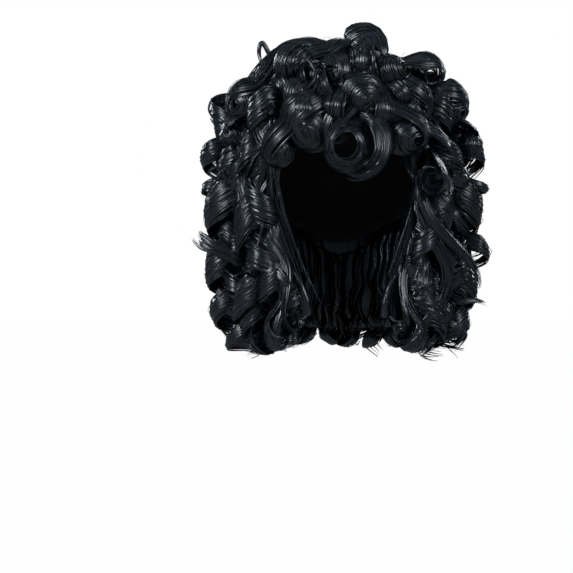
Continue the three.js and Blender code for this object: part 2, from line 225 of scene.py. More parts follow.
# Crown hair: waves that run out from the whorl, with big barrel curls and rolls on them.
# Blue-black synthetic fibre, sewn on the cap in wefts and set round rods.
# A lock is a flat core under fine strands, and its edges bend back a little.
WHORL = np.array([0.0, 18.0, 112.0])
DOWN = np.array([0.0, 0.0, -1.0])
SEAT = CAP_WALL + 0.5
CROWN_DEPTH = 25.0
CROWN_INSET = 4
CROWN_TOP_ROW = 0.03
CROWN_EDGE_ROW = 4.88
CROWN_TONE = 0.3
ROOT_ROWS = np.linspace(0.6, 7.0, 33)
PIN_PITCH = 2.0
STEPS_PER_TURN = 8
STEPS_PER_RADIUS = 0.25
STEM_STEPS = 6
STEM_EASE = 0.42
CORE_OUTLINE = np.array([(1, 0), (0.55, 0.83), (-0.55, 0.83), (-1, 0), (-0.55, -0.83), (0.55, -0.83)])
STRAND_OUTLINE = np.array([(0, 1), (-0.87, -0.5), (0.87, -0.5)])
FINE = 1.27  # spacing of the strands on a lock, here and in the next two
MEDIUM = 2.3
PLAIN = 3.2
CLUMP_WIDTH = 4.5
CORE_WIDTH = 0.9  # share of the lock's, here and in the next two
CORE_DEPTH = 0.22
CORE_LENGTH = 0.88
CORE_TIP = 0.03
ARCH = 0.28
LOCK_THICKNESS = 5.5
WAVE_THICKNESS = 6.0
ROLL_TAPER = 0.8
LOCK_TAPER = 0.75
FRAY = 3.2
STRAND_SHARE = 0.62  # half a strand's width to the spacing
STRAND_HALF_DEPTH = 0.42
STRAND_ROUND = 0.8  # how much a strand's shading turns away from its lock's at its edges
HAIR_RADIUS = 0.24
STRAY_RADIUS = 0.17
HAIR_LINES = (900.0, 10.0, 90.0)
HAIR_ROUGHNESS = 0.18
HAIR_ROUGHNESS_RANGE = 0.18
HAIR_BLACK = (0.0025, 0.004, 0.0068, 1)
HAIR_BLUE_BLACK = (0.0045, 0.0074, 0.0125, 1)

hair_material, hair_shader, hair = new_material("hair_fibre")
hair_place = hair.node("ShaderNodeAttribute", "Vector", {"attribute_name": "strand"}, {})
hair_lines = hair.node("ShaderNodeTexNoise", 0, {}, {
    "Vector": hair.node("ShaderNodeVectorMath", 0, {"operation": "MULTIPLY"}, {0: hair_place, 1: HAIR_LINES}),
    "Scale": 1.0, "Detail": 1.5, "Roughness": 0.6})
hair.mix(hair_lines, HAIR_BLACK, HAIR_BLUE_BLACK).feed(hair_shader, "Base Color")
(hair_lines * HAIR_ROUGHNESS_RANGE + HAIR_ROUGHNESS).feed(hair_shader, "Roughness")
hair.node("ShaderNodeBump", 0, {}, {
    "Strength": 0.6, "Distance": 0.0010, "Height": hair_lines}).feed(hair_shader, "Normal")
hair_shader.inputs["IOR"].default_value = 1.65


def unit(vectors):
    return vectors / np.maximum(np.linalg.norm(vectors, axis=-1, keepdims=True), 1e-9)


def aim(azimuth, elevation):
    a = np.radians(azimuth)
    e = np.radians(elevation)
    return np.array([np.sin(a) * np.cos(e), -np.cos(a) * np.cos(e), np.sin(e)])


def surface_normal(points):
    upward = np.maximum(0, points[..., 2:]) * 0.8
    return unit(np.concatenate([points[..., :2], upward], -1))


def drift(rng, count, steps, knots):
    """Smooth random wandering between -1 and 1, one row for each strand."""
    values = rng.uniform(-1, 1, (count, knots))
    at = np.linspace(0, knots - 1, steps)
    i = np.minimum(at.astype(int), knots - 2)
    share = smooth(at - i)
    return values[:, i] * (1 - share) + values[:, i + 1] * share


def sweep(paths, flats, half_widths, half_depths, outline, arch, tones, tilts=None):
    """Closed tubes along paths (tube, step, 3), with their broad side facing along flats.

    Arch bends their edges back. Tilts, where given, shade them as the sloping surface they lie on.
    """
    tubes, steps = paths.shape[:2]
    sides = len(outline)
    tangents = unit(np.gradient(paths, axis=1))
    across = unit(np.cross(tangents, flats))
    raised = np.cross(across, tangents)
    wide = half_widths[:, :, None] * outline[:, 0]
    deep = half_depths[:, :, None] * outline[:, 1] - arch * half_widths[:, :, None] * outline[:, 0] ** 2
    rings = paths[:, :, None] + wide[..., None] * across[:, :, None] + deep[..., None] * raised[:, :, None]
    index = np.arange(tubes * steps * sides).reshape(tubes, steps, sides)
    after = np.roll(index, -1, 2)
    quads = np.stack([index[:, :-1], index[:, 1:], after[:, 1:], after[:, :-1]], -1).reshape(-1, 4)
    caps = np.concatenate([index[:, 0], index[:, -1, ::-1]])
    length = np.cumsum(np.linalg.norm(np.diff(paths, axis=1, prepend=paths[:, :1]), axis=2), 1)
    strand = triplets(wide * MM + tones[:, None, None], length[:, :, None] * MM, tones[:, None, None])
    normals = np.zeros_like(rings)
    if tilts is not None:
        slope = raised + tilts[..., None] * across
        normals = unit(slope[:, :, None] + STRAND_ROUND * outline[:, :1] * across[:, :, None])
    return rings.reshape(-1, 3), [quads, caps], strand.reshape(-1, 3), normals.reshape(-1, 3)


def lock_parts(path, flats, width, thickness, taper, pitch, rng):
    """A lock: a flat core under fine strands, which lie in clumps and part towards their ends."""
    steps = len(path)
    gaps = np.linalg.norm(np.diff(path, axis=0), axis=1)
    share = np.concatenate([[0], np.cumsum(gaps)]) / gaps.sum()
    tangents = unit(np.gradient(path, axis=0))
    across = unit(np.cross(tangents, flats))
    raised = np.cross(across, tangents)
    knots = max(4, steps // 6)
    clumps = max(1, round(width / CLUMP_WIDTH))
    profile = np.interp(share, [0, 0.15, 0.45, 0.9, 1], [0.3, 1, 1, taper, taper * 0.6])
    profile = profile * (1 + 0.1 * drift(rng, 1, steps, knots)[0])
    core = max(4, int(steps * CORE_LENGTH))
    core_share = np.interp(np.linspace(0, 1, core), [0, 0.65, 1], [1, 1, CORE_TIP]) * profile[:core]
    parts = [sweep(
        path[None, :core], flats[None, :core], (core_share * width * 0.5 * CORE_WIDTH)[None],
        (core_share * thickness * CORE_DEPTH)[None], CORE_OUTLINE, ARCH, rng.uniform(0, 1, 1))]

    def along(values, ends):
        at = np.linspace(0, 1, steps)[None] * ends[:, None] * (steps - 1)
        i = np.minimum(at.astype(int), steps - 2)
        f = (at - i)[..., None]
        return values[i] * (1 - f) + values[i + 1] * f

    def strands_on(count, side, over, wander, half_width, half_depth, sheen):
        place = (np.arange(count) + rng.uniform(0.1, 0.9, count)) / count * 2 - 1
        clump = np.minimum(((place + 1) / 2 * clumps).astype(int), clumps - 1)
        ends = rng.uniform(0.88, 1.0, clumps)[clump] - rng.uniform(0, 0.05, count)
        swayed = drift(rng, clumps, steps, knots)[clump]
        lifted = drift(rng, clumps, steps, knots)[clump]
        own = drift(rng, count, steps, knots)
        place = np.clip(place[:, None] + (0.16 * swayed + 0.15 * own) * (0.4 + share), -1.1, 1.1)
        over_core = np.sqrt(np.maximum(0, 1 - place ** 2)) * thickness * CORE_DEPTH * profile
        rise = side * (over_core + over) + wander * (0.6 * lifted + 0.4 * own) * (0.3 + 0.7 * share)
        rise = rise - ARCH * width * 0.5 * profile * place ** 2
        fray = FRAY * np.clip((share - 0.7) / 0.3, 0, 1) ** 2 * rng.uniform(-1, 1, (clumps, 1))[clump]
        paths = (
            along(path, ends)
            + (place * profile * width * 0.5 + fray)[..., None] * along(across, ends)
            + (rise + 0.6 * fray)[..., None] * along(raised, ends))
        thin = rng.uniform(0.7, 1.25, (count, 1)) * np.interp(share, [0, 0.75, 1], [1, 1, 0.12])
        return sweep(
            paths, along(flats, ends), thin * half_width, thin * half_depth, STRAND_OUTLINE, 0.0,
            rng.uniform(0, 1, count), 2 * ARCH * place if sheen else None)

    outer = max(2, round(width / pitch))
    inner = max(1, outer // 5)
    half_width = STRAND_SHARE * pitch
    parts.append(strands_on(outer, 1.0, 0.2, 1.2, half_width, STRAND_HALF_DEPTH, True))
    parts.append(strands_on(inner, -1.0, 0.1, 0.8, half_width, STRAND_HALF_DEPTH, False))
    if width > CLUMP_WIDTH:
        parts.append(strands_on(2, 1.0, 0.6, 3.6, HAIR_RADIUS, HAIR_RADIUS, False))
    return parts


def turned_flats(path, first, coil_flats):
    """Way the broad side faces all along: first at the root, turning evenly to meet the coil's."""
    stem = len(path) - len(coil_flats)
    tangents = unit(np.gradient(path, axis=0))
    flats = np.concatenate([np.zeros((stem, 3)), coil_flats])
    carried = first
    for i in range(stem + 1):
        carried = unit(carried - tangents[i] * np.dot(carried, tangents[i]))
        if i < stem:
            flats[i] = carried
    goal = coil_flats[0] - tangents[stem] * np.dot(coil_flats[0], tangents[stem])
    twist = np.arctan2(np.dot(np.cross(carried, goal), tangents[stem]), np.dot(carried, goal))
    part = smooth(np.linspace(0, 1, stem + 1)[:-1, None]) * twist
    flats[:stem] = flats[:stem] * np.cos(part) + np.cross(tangents[:stem], flats[:stem]) * np.sin(part)
    return flats


def coil_path(lead, centre, axis, entry, radius, turns, hand, pitch, lean, close, rng):
    """Middle line of a curl and the way its broad side faces: it leaves the lead and winds up."""
    steps = max(9, int(np.ceil(turns * (STEPS_PER_TURN + radius * STEPS_PER_RADIUS))))
    knots = max(4, int(turns * 2) + 2)
    even = np.linspace(0, 1, steps + 1)
    angle = 2 * np.pi * turns * even
    side = np.cross(axis, entry)
    outward = np.sin(angle)[:, None] * entry - hand * np.cos(angle)[:, None] * side
    tucked = 1 - 0.45 * np.clip((even - 0.78) / 0.22, 0, 1) ** 2
    swell = (1 + (close - 1) * even) * tucked * (1 + 0.13 * drift(rng, 1, steps + 1, knots)[0])
    sway = 0.13 * radius * drift(rng, 3, steps + 1, knots).T
    settled = 1 - (1 - even) ** 1.5
    down = pitch * turns * (settled + 0.3 / knots * drift(rng, 1, steps + 1, knots)[0])
    coil = centre + sway + axis * down[:, None] + outward * (radius * swell)[:, None]
    way = unit(axis * pitch / (2 * np.pi) + entry * radius)
    root = lead[-1]
    root_way = unit(lead[-1] - lead[-2])
    reach = np.linalg.norm(coil[0] - root) * STEM_EASE
    t = np.linspace(0, 1, STEM_STEPS + 1)[1:-1, None]
    a = root + root_way * reach
    b = coil[0] - way * reach
    stem = (1 - t) ** 3 * root + 3 * (1 - t) ** 2 * t * a + 3 * (1 - t) * t * t * b + t ** 3 * coil[0]
    path = np.concatenate([lead, stem, coil])
    leaning = lean + 0.25 * drift(rng, 1, steps + 1, knots)[0][:, None]
    coil_flats = unit(outward * np.cos(leaning) + axis * np.sin(leaning))
    return path, turned_flats(path, surface_normal(lead[0]), coil_flats)


def crown_lead(azimuth, row, lift, steps, rng):
    """Smooth start of a lock on the crown, from near the whorl out to a row."""
    t = np.linspace(0, 1, steps)
    begin = max(0.3, row - 2.6)
    swirl = rng.uniform(-16, 16) * (1 - t) + 4 * drift(rng, 1, steps, 3)[0]
    return cap_point(begin + (row - begin) * t, azimuth + swirl, SEAT + lift - 12 * (1 - t) ** 2)


def pin_curl(row, root_back, root_turn, root_lift, pitch, rng):
    """Ring of hair that leaves the cap on a stem and turns about an axis of its own."""
    x, y, z, axis_azimuth, axis_elevation, radius, turns, hand, width, lean, close = row
    centre = np.array([x, y, z], float)
    axis = aim(axis_azimuth, axis_elevation)
    flow = centre - WHORL
    entry = unit(flow - axis * np.dot(flow, axis))
    azimuth = np.degrees(np.arctan2(x, -y)) * root_turn
    slope = np.degrees(np.arctan2(np.hypot(x / HEAD_HALF_WIDTH, y / HEAD_HALF_DEPTH), z / HEAD_HEIGHT))
    root_row = np.interp(slope - root_back, cap_polar(ROOT_ROWS, azimuth), ROOT_ROWS)
    lead = crown_lead(azimuth, root_row, root_lift, 4, rng)
    path, flats = coil_path(
        lead, centre, axis, entry, radius, turns, hand, PIN_PITCH, np.radians(lean), close, rng)
    return lock_parts(path, flats, width, LOCK_THICKNESS, ROLL_TAPER, pitch, rng)


def filling_curl(centre, lead, size, pitch, rng):
    """Roll of no set shape that fills the space between the main ones, lying across the flow."""
    out = unit(centre * np.array([1, 1, 0.8]))
    flow = unit(centre - lead[0])
    beside = unit(np.cross(out, flow)) * rng.choice([-1, 1])
    axis = unit(beside * rng.uniform(0.5, 1) + out * rng.uniform(-0.2, 0.5) + DOWN * rng.uniform(-0.2, 0.6))
    entry = unit(flow - axis * np.dot(flow, axis))
    hand = 1 if np.dot(np.cross(axis, entry), out) < 0 else -1
    path, flats = coil_path(
        lead, centre, axis, entry, size * rng.uniform(0.65, 0.95), rng.uniform(1.3, 1.9), hand,
        rng.uniform(0, 6), np.radians(rng.uniform(25, 45)), rng.uniform(0.3, 0.5), rng)
    return lock_parts(path, flats, size * rng.uniform(1.4, 1.9), LOCK_THICKNESS, ROLL_TAPER, pitch, rng)


def surface_lock(path, width, thickness, pitch, rng):
    """Wavy lock that lies on the hair under it, with its broad side out."""
    return lock_parts(path, surface_normal(path), width, thickness, LOCK_TAPER, pitch, rng)


def free_lock(points, facing, width, pitch, rng):
    """Lock along a smooth line through a few set points, its broad side facing one way."""
    points = np.array(points, float)
    ends = [2 * points[0] - points[1], *points, 2 * points[-1] - points[-2]]
    t = np.linspace(0, 1, 7)[:-1, None]
    path = [points[-1:]]
    for a, b, c, d in list(zip(ends, ends[1:], ends[2:], ends[3:]))[::-1]:
        bend = (2 * a - 5 * b + 4 * c - d) * t ** 2
        curve = 2 * b + (c - a) * t + bend + (3 * b - a - 3 * c + d) * t ** 3
        path.insert(0, curve / 2)
    path = np.concatenate(path)
    tangents = unit(np.gradient(path, axis=0))
    facing = np.array(facing, float)
    flats = unit(facing - tangents * (tangents @ facing)[:, None])
    return lock_parts(path, flats, width, min(6.0, width * 0.45), LOCK_TAPER, pitch, rng)


def stray_hairs(bases, rng):
    """Single hairs that stand off the rest in loose arcs."""
    count = len(bases)
    out = surface_normal(bases)
    along = unit(np.cross(out, rng.normal(size=(count, 3))))
    turn = np.pi * rng.uniform(0.5, 1.5, (count, 1, 1))
    radius = rng.uniform(16, 40, (count, 1, 1)) / turn
    t = np.linspace(0, 1, 12)[None, :, None]
    paths = bases[:, None] + radius * (
        along[:, None] * np.sin(turn * t) + 0.6 * out[:, None] * (1 - np.cos(turn * t)))
    flats = np.broadcast_to(out[:, None], paths.shape)
    thin = np.full(paths.shape[:2], STRAY_RADIUS)
    return [sweep(paths, flats, thin, thin, STRAND_OUTLINE, 0.0, rng.uniform(0, 1, count))]


def hair_object(name, node, parts):
    """One section of hair as a single mesh that stands for its solid."""
    points, polygons, strands, normals, offset = [], [], [], [], 0
    for part_points, part_polygons, part_strand, part_normals in parts:
        points.append(part_points)
        polygons.extend(faces + offset for faces in part_polygons)
        strands.append(part_strand)
        normals.append(part_normals)
        offset += len(part_points)
    made = mesh_object(
        name, np.concatenate(points), polygons, np.concatenate(strands), np.concatenate(normals))
    made.data.materials.append(hair_material)
    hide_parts(node)
    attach(made, "root")


CROWN_CURLS = [
    # x, y, z, axis azimuth, axis elevation, radius, turns, hand, width, lean, close
    (18, -24, 127, -10, -15, 22.5, 1.9, -1, 36, 30, 0.3),
    (79, -10, 106, 25, -15, 20, 1.9, -1, 34, 32, 0.3),
    (103, -16, 73, 45, -20, 18, 1.8, -1, 32, 34, 0.3),
    (66, -64, 70, 35, -20, 14, 1.8, -1, 28, 44, 0.35),
    (42, -62, 104, 62, 10, 16, 1.5, -1, 34, 25, 0.4),
    (122, -14, 40, 70, -10, 12, 1.4, -1, 18, 25, 0.6),
    (-96, -31, 77, -40, -5, 16, 1.8, 1, 28, 34, 0.35),
    (-108, -28, 46, -55, -15, 14, 1.7, 1, 26, 34, 0.35),
    (-14, -70, 100, -62, 5, 16, 1.5, 1, 34, 25, 0.4),
    (-58, -46, 90, -50, -10, 16, 1.5, 1, 32, 30, 0.4),
    (-5, 50, 130, 188, 20, 19, 1.8, 1, 32, 30, 0.3),
    (-62, 66, 108, 215, -20, 20, 1.8, -1, 32, 30, 0.3),
    (58, 68, 108, 145, -20, 20, 1.8, 1, 32, 30, 0.3),
    (6, 98, 104, 176, -30, 20, 1.8, 1, 32, 30, 0.3),
]
CROWN_ENDS = [
    # points along it, way it faces, width
    ([(-60, -40, 118), (-52, -66, 108), (-37, -80, 112), (-28, -88, 96), (-38, -92, 82), (-48, -90, 92)],
     (0, -1, 0.5), 2.5),
    ([(-62, -6, 112), (-71, -8, 128), (-77, -10, 137), (-80, -10, 128), (-76, -8, 112)], (0, -1, 0), 4),
    ([(-98, -26, 80), (-108, -28, 86), (-122, -30, 82), (-126, -30, 70), (-116, -30, 60), (-100, -28, 64)],
     (0, -1, 0), 0.8),
]
SWEPT_LOCKS = [
    # azimuth at the whorl, azimuth at the edge, width
    (10, -14, 28),
    (0, -28, 28),
    (-12, -42, 30),
    (-24, -56, 30),
    (-40, -70, 28),
    (-58, -86, 28),
]
OVER_TOP = [
    # x, z along the top outline from the whorl out to the left
    (12, 124),
    (-10, 135),
    (-32, 140),
    (-52, 137),
    (-68, 126),
    (-82, 108),
    (-92, 90),
]
OVER_TOP_FACING = (-0.4, -0.5, 1)
OVER_TOP_LAYERS = [
    # y at the whorl, y at the edge, drop, width
    (-10, -44, 9, 24),
    (0, -22, 2, 26),
    (10, 0, 0, 26),
    (20, 24, 18, 26),
    (30, 48, 32, 24),
]
CROWN_WAVES = 14
CROWN_FILL = 22
CROWN_FILL_SIZE = 20
CROWN_FILL_CLEARANCE = 22.0
CROWN_STRAYS = 60
CROWN_ROOT_BACK = 24
CROWN_ROOT_LIFT = 22
GOLDEN_ANGLE = 137.5
FRONT_HALF_ANGLE = 75
FRONT_DEEPER = 5
SWEPT_FROM = -80
SWEPT_TO = -8
SWEPT_LIFT = 29
FILL_SHOWN_TO_Y = 30
SHOWN_TO_Y = 40
crown_rng = np.random.default_rng(11)
crown_rows = np.concatenate([[CROWN_TOP_ROW], np.linspace(0.4, CROWN_EDGE_ROW, 14)])[:, None]
crown_ridges = 0.9 * crown_rng.uniform(-1, 1, ROUND_AZIMUTHS.shape) * np.minimum(crown_rows / 2, 1)
crown_parts = [wall_mesh(
    cap_point(crown_rows, ROUND_AZIMUTHS, SEAT),
    cap_point(crown_rows, ROUND_AZIMUTHS, SEAT + CROWN_DEPTH - CROWN_INSET + crown_ridges),
    cap_strand(crown_rows, ROUND_AZIMUTHS, CROWN_TONE), True)]
for i in range(CROWN_WAVES):
    t = np.linspace(0, 1, 16)
    wander = drift(crown_rng, 2, 16, 5)
    row = crown_rng.uniform(0.2, 1.2) + (crown_rng.uniform(5.0, 5.6) - 0.6) * t
    turned = i * 360 / CROWN_WAVES + 22 * t * crown_rng.uniform(-1, 1) + 8 * wander[0] * t
    path = cap_point(row, turned, SEAT + CROWN_DEPTH - 3 + 4 * wander[1] + crown_rng.uniform(-1, 2))
    crown_parts.extend(surface_lock(path, crown_rng.uniform(20, 26), WAVE_THICKNESS, PLAIN, crown_rng))
for begin, end, width in SWEPT_LOCKS:
    t = np.linspace(0, 1, 18)
    wander = drift(crown_rng, 2, 18, 5)
    swing = 4.5 * np.sin(2 * np.pi * (1.4 * t + crown_rng.uniform(0, 1)))
    turned = begin + (end - begin) * t ** 1.3 + 3 * wander[0] * t
    path = cap_point(0.7 + 4.4 * t, turned, SEAT + SWEPT_LIFT + swing * t)
    crown_parts.extend(surface_lock(path, width, WAVE_THICKNESS, FINE, crown_rng))
for near, far, drop, width in OVER_TOP_LAYERS:
    steps = np.linspace(0, 1, len(OVER_TOP))
    wave = 3.5 * np.sin(2 * np.pi * (1.7 * steps + crown_rng.uniform(0, 1)))
    points = [(x, near + (far - near) * step, z - drop * step + rise)
              for (x, z), step, rise in zip(OVER_TOP, steps, wave * steps)]
    crown_parts.extend(free_lock(points, OVER_TOP_FACING, width, MEDIUM, crown_rng))
crown_centres = np.array([curl[:3] for curl in CROWN_CURLS], float)
for i in range(CROWN_FILL):
    row = 1.3 + 3.7 * np.sqrt((i + 0.5) / CROWN_FILL)
    azimuth = i * GOLDEN_ANGLE
    turned = (azimuth + 180) % 360 - 180
    deeper = FRONT_DEEPER * (abs(turned) < FRONT_HALF_ANGLE)
    centre = cap_point(row, azimuth, SEAT + 12 - deeper + 2.8 * row + crown_rng.uniform(-2, 4))
    lead = crown_lead(azimuth + crown_rng.uniform(-12, 12), row - 1.2, 23, 5, crown_rng)
    swept = SWEPT_FROM < turned < SWEPT_TO and (i % 3 or row < 3)
    if np.linalg.norm(crown_centres - centre, axis=1).min() > CROWN_FILL_CLEARANCE and not swept:
        pitch = MEDIUM if centre[1] < FILL_SHOWN_TO_Y else PLAIN
        crown_parts.extend(filling_curl(centre, lead, CROWN_FILL_SIZE, pitch, crown_rng))
for curl in CROWN_CURLS:
    pitch = FINE if curl[1] < SHOWN_TO_Y else PLAIN
    crown_parts.extend(pin_curl(curl, CROWN_ROOT_BACK, 1.0, CROWN_ROOT_LIFT, pitch, crown_rng))
for points, facing, width in CROWN_ENDS:
    crown_parts.extend(free_lock(points, facing, width, FINE, crown_rng))
crown_parts.extend(stray_hairs(cap_point(
    crown_rng.uniform(1, 5, CROWN_STRAYS), crown_rng.uniform(0, 360, CROWN_STRAYS),
    crown_rng.uniform(22, 28, CROWN_STRAYS)), crown_rng))
hair_object("crown_hair", "crown_curls", crown_parts)

# Fringe hair: short curls that fall over the brow, the middle one an open ring.
# The same fibre, on a weft along the cap's front rim.
FRINGE_DEPTH = 12.0
FRINGE_FROM = -45.0
FRINGE_TO = 45.0
FRINGE_DOWN_PER_ROW = 0.012
FRINGE_TONE = 0.6
SECTION_GAP = 0.3
FRINGE_CURLS = [
    # x, y, z, axis azimuth, axis elevation, radius, turns, hand, width, lean, close
    (-36, -90, 47, -14, -25, 19, 2.0, 1, 35, 34, 0.2),
    (19, -92, 70, 16, -22, 19, 2.1, -1, 36, 36, 0.15),
    (1, -104, 28, -5, 0, 18, 1.6, 1, 24, 26, 0.94),
    (58, -80, 41, 28, -22, 19, 2.0, -1, 35, 34, 0.2),
    (-62, -78, 27, -20, -25, 15, 1.8, 1, 28, 30, 0.3),
    (-12, -92, 46, -5, -15, 10, 1.6, 1, 22, 40, 0.35),
    (32, -88, 32, 8, -15, 10, 1.7, -1, 24, 40, 0.25),
    (86, -54, 23, 40, -25, 15, 1.8, -1, 28, 30, 0.3),
]
FRINGE_ENDS = [
    # points along it, way it faces, width
    ([(20, -94, 62), (30, -104, 48), (34, -108, 28), (26, -110, 11), (9, -110, 3), (-8, -108, 8)],
     (0.5, -0.7, -0.4), 12),
    ([(8, -96, 60), (22, -106, 50), (27, -110, 32), (22, -112, 17), (8, -112, 8)], (0.5, -0.7, -0.4), 9),
]
FRINGE_WAVES = 16
FRINGE_THICKNESS = 5.0
FRINGE_FILL = 14
FRINGE_FILL_SIZE = 14
FRINGE_FILL_CLEARANCE = 15
FRINGE_ROOT_BACK = 24
FRINGE_ROOT_TURN = 0.85
FRINGE_ROOT_LIFT = 12
fringe_rng = np.random.default_rng(12)
fringe_rows = np.linspace(CROWN_ROWS, CAP_ROWS, 8)[:, None]
fringe_azimuths = np.linspace(FRINGE_FROM + SECTION_GAP, FRINGE_TO - SECTION_GAP, 30)[None, :]
fringe_strand = triplets(
    np.radians(fringe_azimuths) * ROUND_PER_RADIAN, fringe_rows * FRINGE_DOWN_PER_ROW, FRINGE_TONE)
fringe_parts = [wall_mesh(
    cap_point(fringe_rows, fringe_azimuths, SEAT),
    cap_point(fringe_rows, fringe_azimuths, SEAT + FRINGE_DEPTH - 1), fringe_strand, False)]
fringe_centres = np.array([curl[:3] for curl in FRINGE_CURLS], float)
for i in range(FRINGE_WAVES):
    t = np.linspace(0, 1, 16)
    wander = drift(fringe_rng, 2, 16, 5)
    azimuth = FRINGE_FROM + 3 + (FRINGE_TO - FRINGE_FROM - 6) * (i + 0.5) / FRINGE_WAVES
    row = 4.6 + (fringe_rng.uniform(7.6, 8.1) - 4.6) * t
    lift = SEAT + 11 + 5 * np.sin(np.pi * t) + 3 * wander[1]
    path = cap_point(row, azimuth + 9 * wander[0] * t, lift)
    width = fringe_rng.uniform(14, 20)
    fringe_parts.extend(surface_lock(path, width, FRINGE_THICKNESS, PLAIN, fringe_rng))
for i in range(FRINGE_FILL):
    row = 5.3 + 2.6 * (i % 3) / 2
    azimuth = FRINGE_FROM + 5 + (FRINGE_TO - FRINGE_FROM - 10) * (i + 0.5) / FRINGE_FILL
    centre = cap_point(row, azimuth, SEAT + fringe_rng.uniform(11, 17))
    lead = crown_lead(azimuth * 0.9, row - 1.5, 17, 5, fringe_rng)
    if np.linalg.norm(fringe_centres - centre, axis=1).min() > FRINGE_FILL_CLEARANCE:
        fringe_parts.extend(filling_curl(centre, lead, FRINGE_FILL_SIZE, MEDIUM, fringe_rng))
for curl in FRINGE_CURLS:
    fringe_parts.extend(pin_curl(
        curl, FRINGE_ROOT_BACK, FRINGE_ROOT_TURN, FRINGE_ROOT_LIFT, FINE, fringe_rng))
for points, facing, width in FRINGE_ENDS:
    fringe_parts.extend(free_lock(points, facing, width, FINE, fringe_rng))
hair_object("fringe_hair", "fringe_curls", fringe_parts)

# Left temple hair: ringlets that hang beside the face, on close hair that follows its edge.
# Each ringlet is a flat lock wound down a rod, with its end left loose.
# A section with a face edge starts or stops there, and its hair keeps clear of the opening.
RIM_DEPTH = 18.0
BOTTOM_DEPTH = 13.0
FACE_THINNING = 0.4
FACE_MARGIN = 0.14
FACE_CLEARANCE = 11
OVERHANG_ROW = 8.2
HANGING_BOTTOM = -148.0
LOWEST = -158
HANG_HEIGHTS = [-160, -100, -50, 0]
HANG_SIDE = [0.85, 0.8, 0.9, 1.0]
HANG_FRONT = [0.71, 0.67, 0.86, 1.0]
HANG_BACK = [0.9, 0.86, 0.895, 1.0]
FACE_HEIGHTS = [-160, -110, -60, 0, 20, 50]
FACE_AZIMUTHS = [42, 27, 48, 57, 54, 40]
REACH_AZIMUTHS = [30, 62, 88, 109, 180]
REACHES = [70, 92, 106, 112, 118]
BACKING_END = 0.87
BACKING_COLUMNS_PER_DEGREE = 0.6
BACKING_ROUND_PER_RADIAN = 0.09
BACKING_DOWN_PER_ROW = 0.03
BACKING_TONE = 0.2
WAVE_SPACING = 7
WAVE_STEPS = 26
WAVE_TOP_ROW = 4.8
HANGING_THICKNESS = 4.5
FACE_WAVES = [0.03, 0.12, 0.24, 0.38, 0.6, 0.85]
FACE_CALM = 0.4
OUTER_LAYER = 0.95
INNER_LAYER = -0.05
INNER_SWING = 1.2
INNER_WAVES = 6
INNER_FROM = 80
INNER_TO = 280
LEAD_STEPS = 5
LEAD_RISE = 45
LEAD_TOP = 88
LEAD_CLEARANCE = 8
ROOT_ROW = 5.5
STEM_RISE = 34.0
RINGLET_PITCH = 44.0
CURL_PITCH = 34
CURL_TOP = 76
CURL_RANGE = 200
GOLDEN_SHARE = 0.618
END_SPACING = 13.0
END_SIZE = 13
END_ROOT_HEIGHT = -105
ROLL_ROOT_RISE = 30
ROLL_ROOT_TOP = 84
STRAYS = 24
STRAY_TOP = 60
STRAY_RANGE = 195


def hair_point(azimuth, height, lift):
    """Point on the inner face of the hair at a height, raised from it by lift."""
    a = np.radians(azimuth)
    rim = HEAD_HEIGHT * np.cos(np.radians(rim_polar(azimuth)))
    on_cap = np.sqrt(np.maximum(0.0, 1 - (height / (HEAD_HEIGHT + SEAT)) ** 2))
    below = (
        np.sin(a) ** 2 * eased(HANG_HEIGHTS, HANG_SIDE, height)
        + np.maximum(0, np.cos(a)) ** 2 * eased(HANG_HEIGHTS, HANG_FRONT, height)
        + np.maximum(0, -np.cos(a)) ** 2 * eased(HANG_HEIGHTS, HANG_BACK, height))
    share = np.where(height >= rim, on_cap, below)
    x = ((HEAD_HALF_WIDTH + SEAT) * share + lift) * np.sin(a)
    y = -((HEAD_HALF_DEPTH + SEAT) * share + lift) * np.cos(a)
    return triplets(x, y, height)


def outer_reach(azimuth):
    return eased(REACH_AZIMUTHS, REACHES, min(azimuth, 360 - azimuth))


def curtain_point(row, share, raised, start, stop, face_edge):
    """Point of a hanging section: rows lie on the cap to its rim and hang free below it."""
    start = start + SECTION_GAP
    stop = stop - SECTION_GAP
    azimuth = start + (stop - start) * share
    below = np.maximum(0.0, row - OVERHANG_ROW)
    thin = 1.0
    if face_edge:
        from_face = share if face_edge == "start" else 1 - share
        thin = FACE_THINNING + (1 - FACE_THINNING) * from_face
    lift = raised * (RIM_DEPTH + (BOTTOM_DEPTH - RIM_DEPTH) * below) * thin
    top = cap_point(np.minimum(row, OVERHANG_ROW), azimuth, SEAT + lift)
    rim = cap_point(OVERHANG_ROW, azimuth, SEAT)[..., 2]
    height = rim + (HANGING_BOTTOM - rim) * below
    edge = eased(FACE_HEIGHTS, FACE_AZIMUTHS, height)
    hung = azimuth
    if face_edge == "start":
        hung = edge + (stop - edge) * share
    if face_edge == "stop":
        hung = start + (360 - edge - start) * share
    return np.where((below > 0)[..., None], hair_point(hung, height, lift), top)


def hanging_lead(azimuth, height, rng):
    """Start of a lock on the close hair, clear of the face, down to a height."""
    t = np.linspace(0, 1, LEAD_STEPS)
    high = min(height + LEAD_RISE, LEAD_TOP)
    falling = high + (height - high) * t
    folded = (azimuth + 180) % 360 - 180
    beside = np.maximum(abs(folded), eased(FACE_HEIGHTS, FACE_AZIMUTHS, falling) + LEAD_CLEARANCE)
    turned = np.sign(folded) * beside + 5 * drift(rng, 1, LEAD_STEPS, 3)[0] * t
    return hair_point(turned, falling, 2 + 17 * t)


